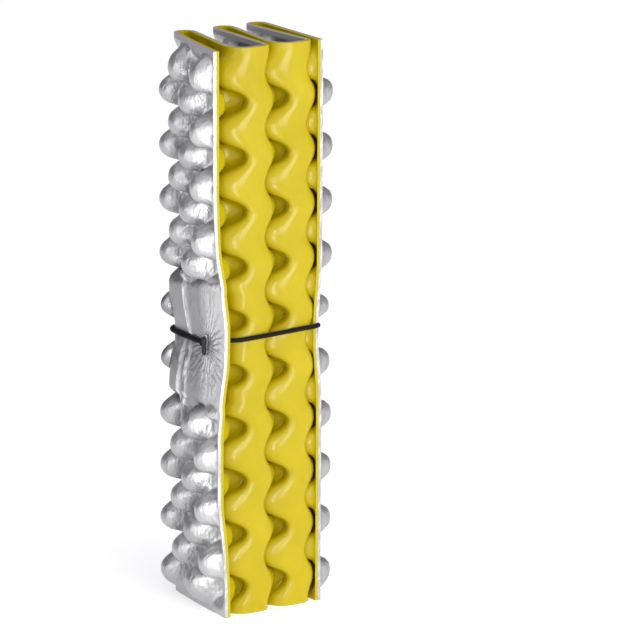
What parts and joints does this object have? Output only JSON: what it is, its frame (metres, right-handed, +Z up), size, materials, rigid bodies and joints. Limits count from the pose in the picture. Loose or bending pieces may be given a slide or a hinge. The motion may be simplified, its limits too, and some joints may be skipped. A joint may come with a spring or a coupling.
{
  "type": "foam sleeping pad",
  "caption": "Small accordion-fold egg-crate foam pad, folded shut and standing on its cut end, with a silver face, a yellow face and an elastic cord round its middle.",
  "frame": {"origin": "middle of the base, under the centre of the folded stack", "axes": "+Z up along the creases, +X across the stack from the first panel to the last, -Y towards the front strips"},
  "size_m": [0.0941, 0.0702, 0.33],
  "materials": {
    "yellow_foam": "closed-cell foam with a smooth matte skin",
    "silver_foam": "grey closed-cell foam with a thin, finely wrinkled aluminised film",
    "elastic_cord": "braided sleeve over elastic",
    "cord_crossbar": "moulded, fine texture"
  },
  "bodies": {
    "panel_1": {"panel_1_yellow_foam": "yellow_foam", "panel_1_silver_foam": "silver_foam", "back_fold_1_yellow_foam": "yellow_foam", "back_fold_1_silver_foam": "silver_foam", "elastic_cord": "elastic_cord", "cord_crossbar": "cord_crossbar"},
    "panel_2": {"panel_2_yellow_foam": "yellow_foam", "panel_2_silver_foam": "silver_foam"},
    "front_strip_a": {"front_strip_a_yellow_foam": "yellow_foam", "front_strip_a_silver_foam": "silver_foam", "strip_a_left_corner_yellow_foam": "yellow_foam", "strip_a_left_corner_silver_foam": "silver_foam", "strip_a_right_corner_yellow_foam": "yellow_foam", "strip_a_right_corner_silver_foam": "silver_foam"},
    "panel_3": {"panel_3_yellow_foam": "yellow_foam", "panel_3_silver_foam": "silver_foam", "back_fold_2_yellow_foam": "yellow_foam", "back_fold_2_silver_foam": "silver_foam"},
    "panel_4": {"panel_4_yellow_foam": "yellow_foam", "panel_4_silver_foam": "silver_foam"},
    "front_strip_b": {"front_strip_b_yellow_foam": "yellow_foam", "front_strip_b_silver_foam": "silver_foam", "strip_b_left_corner_yellow_foam": "yellow_foam", "strip_b_left_corner_silver_foam": "silver_foam", "strip_b_right_corner_yellow_foam": "yellow_foam", "strip_b_right_corner_silver_foam": "silver_foam"},
    "panel_5": {"panel_5_yellow_foam": "yellow_foam", "panel_5_silver_foam": "silver_foam", "back_fold_3_yellow_foam": "yellow_foam", "back_fold_3_silver_foam": "silver_foam"},
    "panel_6": {"panel_6_yellow_foam": "yellow_foam", "panel_6_silver_foam": "silver_foam"}
  },
  "joints": [
    {"name": "back_fold_1_opens", "type": "hinge", "parent": "panel_1", "child": "panel_2", "pos_m": [-0.0205, 0.0333, 0.165], "axis": [0, 0, 1], "range_deg": [0, 180], "deforming": ["back_fold_1_yellow_foam", "back_fold_1_silver_foam", "elastic_cord"]},
    {"name": "strip_a_left_corner_opens", "type": "hinge", "parent": "panel_2", "child": "front_strip_a", "pos_m": [-0.02105, -0.02975, 0.165], "axis": [0, 0, -1], "range_deg": [0, 90], "deforming": ["strip_a_left_corner_yellow_foam", "strip_a_left_corner_silver_foam"]},
    {"name": "strip_a_right_corner_opens", "type": "hinge", "parent": "front_strip_a", "child": "panel_3", "pos_m": [-0.00045, -0.02975, 0.165], "axis": [0, 0, -1], "range_deg": [0, 90], "deforming": ["strip_a_right_corner_yellow_foam", "strip_a_right_corner_silver_foam"]},
    {"name": "back_fold_2_opens", "type": "hinge", "parent": "panel_3", "child": "panel_4", "pos_m": [0.00525, 0.0333, 0.165], "axis": [0, 0, 1], "range_deg": [0, 180], "deforming": ["back_fold_2_yellow_foam", "back_fold_2_silver_foam"]},
    {"name": "strip_b_left_corner_opens", "type": "hinge", "parent": "panel_4", "child": "front_strip_b", "pos_m": [0.00645, -0.02975, 0.165], "axis": [0, 0, -1], "range_deg": [0, 90], "deforming": ["strip_b_left_corner_yellow_foam", "strip_b_left_corner_silver_foam"]},
    {"name": "strip_b_right_corner_opens", "type": "hinge", "parent": "front_strip_b", "child": "panel_5", "pos_m": [0.02705, -0.02975, 0.165], "axis": [0, 0, -1], "range_deg": [0, 90], "deforming": ["strip_b_right_corner_yellow_foam", "strip_b_right_corner_silver_foam"]},
    {"name": "back_fold_3_opens", "type": "hinge", "parent": "panel_5", "child": "panel_6", "pos_m": [0.0275, 0.0333, 0.165], "axis": [0, 0, 1], "range_deg": [0, 180], "deforming": ["back_fold_3_yellow_foam", "back_fold_3_silver_foam"]}
  ],
  "couplings": [
    {"joint": "strip_a_left_corner_opens", "follows": "back_fold_1_opens", "ratio": 0.5},
    {"joint": "strip_a_right_corner_opens", "follows": "back_fold_1_opens", "ratio": 0.5},
    {"joint": "back_fold_2_opens", "follows": "back_fold_1_opens", "ratio": 1},
    {"joint": "strip_b_left_corner_opens", "follows": "back_fold_1_opens", "ratio": 0.5},
    {"joint": "strip_b_right_corner_opens", "follows": "back_fold_1_opens", "ratio": 0.5},
    {"joint": "back_fold_3_opens", "follows": "back_fold_1_opens", "ratio": 1}
  ]
}
